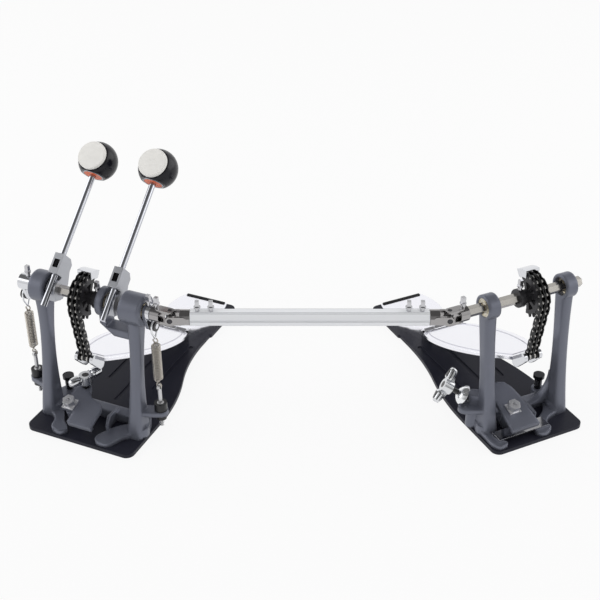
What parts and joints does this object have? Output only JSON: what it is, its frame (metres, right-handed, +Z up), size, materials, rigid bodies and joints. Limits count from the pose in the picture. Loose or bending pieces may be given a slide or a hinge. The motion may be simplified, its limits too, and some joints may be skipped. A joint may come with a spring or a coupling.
{
  "type": "double bass drum pedal",
  "caption": "Double bass drum pedal: two chain-driven foot pedals joined by a telescoping drive shaft with universal joints, felt beaters on the main pedal and hoop clamps.",
  "frame": {"origin": "under the middle of the whole part's box, on the floor", "axes": "+X along the drive shaft from the main pedal to the slave pedal, +Y from the drum towards the heels, +Z up"},
  "size_m": [0.665, 0.351, 0.3159],
  "materials": {
    "base_rubber_black": "satin black plate on a rubber underside",
    "cast_grey": "satin grey cast aluminium",
    "hub_grey": "light grey cast",
    "polished": "polished",
    "bearing_steel": "turned",
    "shaft_steel": "bright",
    "chain_black": "black oxide",
    "gunmetal": "gunmetal",
    "tube_aluminium": "satin anodised",
    "spring_nickel": "nickel",
    "beater_black": "gloss black",
    "felt_white": "felt"
  },
  "bodies": {
    "primary_stand": {"primary_base_plate": "base_rubber_black", "primary_frame": "cast_grey", "primary_bearings": "bearing_steel", "primary_heel_plate": "polished", "primary_fasteners": "shaft_steel", "spring_tensioners": "spring_nickel"},
    "main_axle": {"main_shaft": "shaft_steel", "primary_sprocket": "chain_black", "primary_chain_clip": "polished", "beater_hub_1": "hub_grey", "outer_rocker": "hub_grey", "main_shaft_screws": "shaft_steel"},
    "primary_link_2": {"primary_chain_link_2": "chain_black"},
    "primary_link_1": {"primary_chain_link_1": "chain_black"},
    "primary_run": {"primary_chain_run": "chain_black"},
    "primary_board": {"primary_footboard": "polished", "primary_toe_clevis": "polished"},
    "aux_axle": {"aux_shaft": "shaft_steel", "beater_hub_2": "hub_grey", "inner_rocker": "hub_grey", "aux_shaft_screws": "shaft_steel", "primary_hub_yoke": "gunmetal"},
    "beater_1": {"beater_rod_1": "polished", "beater_head_1": "beater_black", "beater_felt_1": "felt_white"},
    "beater_2": {"beater_rod_2": "polished", "beater_head_2": "beater_black", "beater_felt_2": "felt_white"},
    "stirrup_1": {"stirrup_1": "spring_nickel"},
    "stirrup_2": {"stirrup_2": "spring_nickel"},
    "spring_1": {"spring_1": "spring_nickel"},
    "spring_2": {"spring_2": "spring_nickel"},
    "primary_clamp": {"primary_clamp_plate": "cast_grey", "primary_clamp_bolt": "polished"},
    "primary_knob": {"primary_clamp_knob": "polished"},
    "cross_a": {"drive_cross_a": "gunmetal"},
    "cross_b": {"drive_cross_b": "gunmetal"},
    "drive_tube": {"drive_tube": "tube_aluminium", "drive_rod_a": "gunmetal", "drive_tube_screws": "shaft_steel"},
    "drive_rod_b": {"drive_rod_b": "gunmetal"},
    "slave_stand": {"slave_base_plate": "base_rubber_black", "slave_frame": "cast_grey", "slave_bearings": "bearing_steel", "slave_heel_plate": "polished", "slave_fasteners": "shaft_steel", "slave_clamp_jaw": "polished"},
    "slave_axle": {"slave_shaft": "shaft_steel", "slave_sprocket": "chain_black", "slave_chain_clip": "polished", "slave_hub_yoke": "gunmetal", "slave_shaft_screws": "shaft_steel"},
    "slave_link_2": {"slave_chain_link_2": "chain_black"},
    "slave_link_1": {"slave_chain_link_1": "chain_black"},
    "slave_run": {"slave_chain_run": "chain_black"},
    "slave_board": {"slave_footboard": "polished", "slave_toe_clevis": "polished"},
    "slave_clamp": {"slave_clamp_plate": "cast_grey", "slave_clamp_bolt": "polished"},
    "slave_wing": {"slave_clamp_wing": "polished"}
  },
  "joints": [
    {"name": "telescope", "type": "slide", "parent": "primary_stand", "child": "slave_stand", "axis": [1, 0, 0], "range_m": [0, 0.03]},
    {"name": "primary_kick", "type": "hinge", "parent": "primary_stand", "child": "main_axle", "pos_m": [-0.24574, -0.10223, 0.175], "axis": [0.9164, -0.4003, 0], "range_deg": [0, 45], "stiffness_Nm_per_rad": 1.6, "springref_deg": -20.05},
    {"name": "primary_treadle", "type": "hinge", "parent": "primary_stand", "child": "primary_board", "pos_m": [-0.17488, 0.05997, 0.024], "axis": [0.9164, -0.4003, 0], "range_deg": [0, 6.24]},
    {"name": "primary_chain_c", "type": "hinge", "parent": "main_axle", "child": "primary_link_2", "pos_m": [-0.25484, -0.12305, 0.18673], "axis": [0.9164, -0.4003, 0], "range_deg": [-24.89, 0]},
    {"name": "primary_chain_b", "type": "hinge", "parent": "primary_link_2", "child": "primary_link_1", "pos_m": [-0.25584, -0.12535, 0.17913], "axis": [0.9164, -0.4003, 0], "range_deg": [-17.78, 0]},
    {"name": "primary_chain_a", "type": "hinge", "parent": "primary_link_1", "child": "primary_run", "pos_m": [-0.25586, -0.12539, 0.17113], "axis": [0.9164, -0.4003, 0], "range_deg": [-9.04, 0]},
    {"name": "primary_clamp_rock", "type": "hinge", "parent": "primary_stand", "child": "primary_clamp", "pos_m": [-0.27517, -0.11774, 0.03], "axis": [0.9164, -0.4003, 0], "range_deg": [-2.1, 2.1]},
    {"name": "primary_knob_turn", "type": "hinge", "parent": "primary_stand", "child": "primary_knob", "pos_m": [-0.25975, -0.09502, 0.0495], "axis": [0, 0, 1], "range_deg": [-150, 150]},
    {"name": "slave_kick", "type": "hinge", "parent": "slave_stand", "child": "slave_axle", "pos_m": [0.25646, -0.09846, 0.175], "axis": [0.9003, 0.4352, 0], "range_deg": [0, 45], "stiffness_Nm_per_rad": 1.6, "springref_deg": -20.05},
    {"name": "slave_treadle", "type": "hinge", "parent": "slave_stand", "child": "slave_board", "pos_m": [0.17943, 0.06089, 0.024], "axis": [0.9003, 0.4352, 0], "range_deg": [0, 6.24]},
    {"name": "slave_chain_c", "type": "hinge", "parent": "slave_axle", "child": "slave_link_2", "pos_m": [0.26635, -0.11892, 0.18673], "axis": [0.9003, 0.4352, 0], "range_deg": [-24.89, 0]},
    {"name": "slave_chain_b", "type": "hinge", "parent": "slave_link_2", "child": "slave_link_1", "pos_m": [0.26744, -0.12118, 0.17913], "axis": [0.9003, 0.4352, 0], "range_deg": [-17.78, 0]},
    {"name": "slave_chain_a", "type": "hinge", "parent": "slave_link_1", "child": "slave_run", "pos_m": [0.26746, -0.12122, 0.17113], "axis": [0.9003, 0.4352, 0], "range_deg": [-9.04, 0]},
    {"name": "slave_clamp_rock", "type": "hinge", "parent": "slave_stand", "child": "slave_clamp", "pos_m": [0.24457, -0.12643, 0.03], "axis": [0.9003, 0.4352, 0], "range_deg": [-2.1, 2.1]},
    {"name": "slave_wing_turn", "type": "hinge", "parent": "slave_stand", "child": "slave_wing", "pos_m": [0.1918, -0.1175, 0.045], "axis": [-0.8549, 0.0628, 0.515], "range_deg": [-150, 150]},
    {"name": "aux_swing", "type": "hinge", "parent": "primary_stand", "child": "aux_axle", "pos_m": [-0.24574, -0.10223, 0.175], "axis": [0.9164, -0.4003, 0], "range_deg": [0, 45.5]},
    {"name": "tube_spin", "type": "hinge", "parent": "primary_stand", "child": "drive_tube", "pos_m": [-0.14677, -0.14547, 0.175], "axis": [1, 0, 0], "range_deg": [0, 43.09]},
    {"name": "cross_a_pivot", "type": "hinge", "parent": "aux_axle", "child": "cross_a", "pos_m": [-0.14677, -0.14547, 0.175], "axis": [0, 0, 1], "range_deg": [-6.56, 0]},
    {"name": "cross_b_pivot", "type": "hinge", "parent": "slave_axle", "child": "cross_b", "pos_m": [0.15923, -0.14547, 0.175], "axis": [0, 0, 1], "range_deg": [0, 7.07]},
    {"name": "rod_b_slide", "type": "slide", "parent": "drive_tube", "child": "drive_rod_b", "axis": [1, 0, 0], "range_m": [0, 0.031]},
    {"name": "beater_1_height", "type": "slide", "parent": "main_axle", "child": "beater_1", "axis": [0.2994, 0.6853, 0.6639], "range_m": [-0.015, 0.015]},
    {"name": "stirrup_1_swing", "type": "hinge", "parent": "main_axle", "child": "stirrup_1", "pos_m": [-0.32396, -0.06595, 0.1566], "axis": [0.9164, -0.4003, 0], "range_deg": [-54.13, 0]},
    {"name": "spring_1_stretch", "type": "slide", "parent": "stirrup_1", "child": "spring_1", "axis": [0, 0, -1], "range_m": [0, 0.00779], "deforming": ["spring_1"]},
    {"name": "beater_2_height", "type": "slide", "parent": "aux_axle", "child": "beater_2", "axis": [0.2994, 0.6853, 0.6639], "range_m": [-0.015, 0.015]},
    {"name": "stirrup_2_swing", "type": "hinge", "parent": "aux_axle", "child": "stirrup_2", "pos_m": [-0.16689, -0.13457, 0.1566], "axis": [0.9164, -0.4003, 0], "range_deg": [-54.13, 0]},
    {"name": "spring_2_stretch", "type": "slide", "parent": "stirrup_2", "child": "spring_2", "axis": [0, 0, -1], "range_m": [0, 0.00779], "deforming": ["spring_2"]}
  ],
  "couplings": [
    {"joint": "primary_treadle", "follows": "primary_kick", "ratio": 0.13597},
    {"joint": "primary_chain_c", "follows": "primary_kick", "ratio": -0.54226},
    {"joint": "primary_chain_b", "follows": "primary_kick", "ratio": -0.38733},
    {"joint": "primary_chain_a", "follows": "primary_kick", "ratio": -0.19692},
    {"joint": "primary_clamp_rock", "follows": "primary_knob_turn", "ratio": 0.013333},
    {"joint": "slave_treadle", "follows": "slave_kick", "ratio": 0.13597},
    {"joint": "slave_chain_c", "follows": "slave_kick", "ratio": -0.54226},
    {"joint": "slave_chain_b", "follows": "slave_kick", "ratio": -0.38733},
    {"joint": "slave_chain_a", "follows": "slave_kick", "ratio": -0.19692},
    {"joint": "slave_clamp_rock", "follows": "slave_wing_turn", "ratio": 0.013333},
    {"joint": "aux_swing", "follows": "slave_kick", "ratio": 1},
    {"joint": "tube_spin", "follows": "slave_kick", "ratio": 0.93887},
    {"joint": "cross_a_pivot", "follows": "slave_kick", "ratio": -0.14295},
    {"joint": "cross_b_pivot", "follows": "slave_kick", "ratio": 0.15396},
    {"joint": "rod_b_slide", "follows": "telescope", "ratio": 1},
    {"joint": "stirrup_1_swing", "follows": "primary_kick", "ratio": -1.1794},
    {"joint": "spring_1_stretch", "follows": "primary_kick", "m_per_rad": 0.00972},
    {"joint": "stirrup_2_swing", "follows": "slave_kick", "ratio": -1.1794},
    {"joint": "spring_2_stretch", "follows": "slave_kick", "m_per_rad": 0.00972}
  ]
}
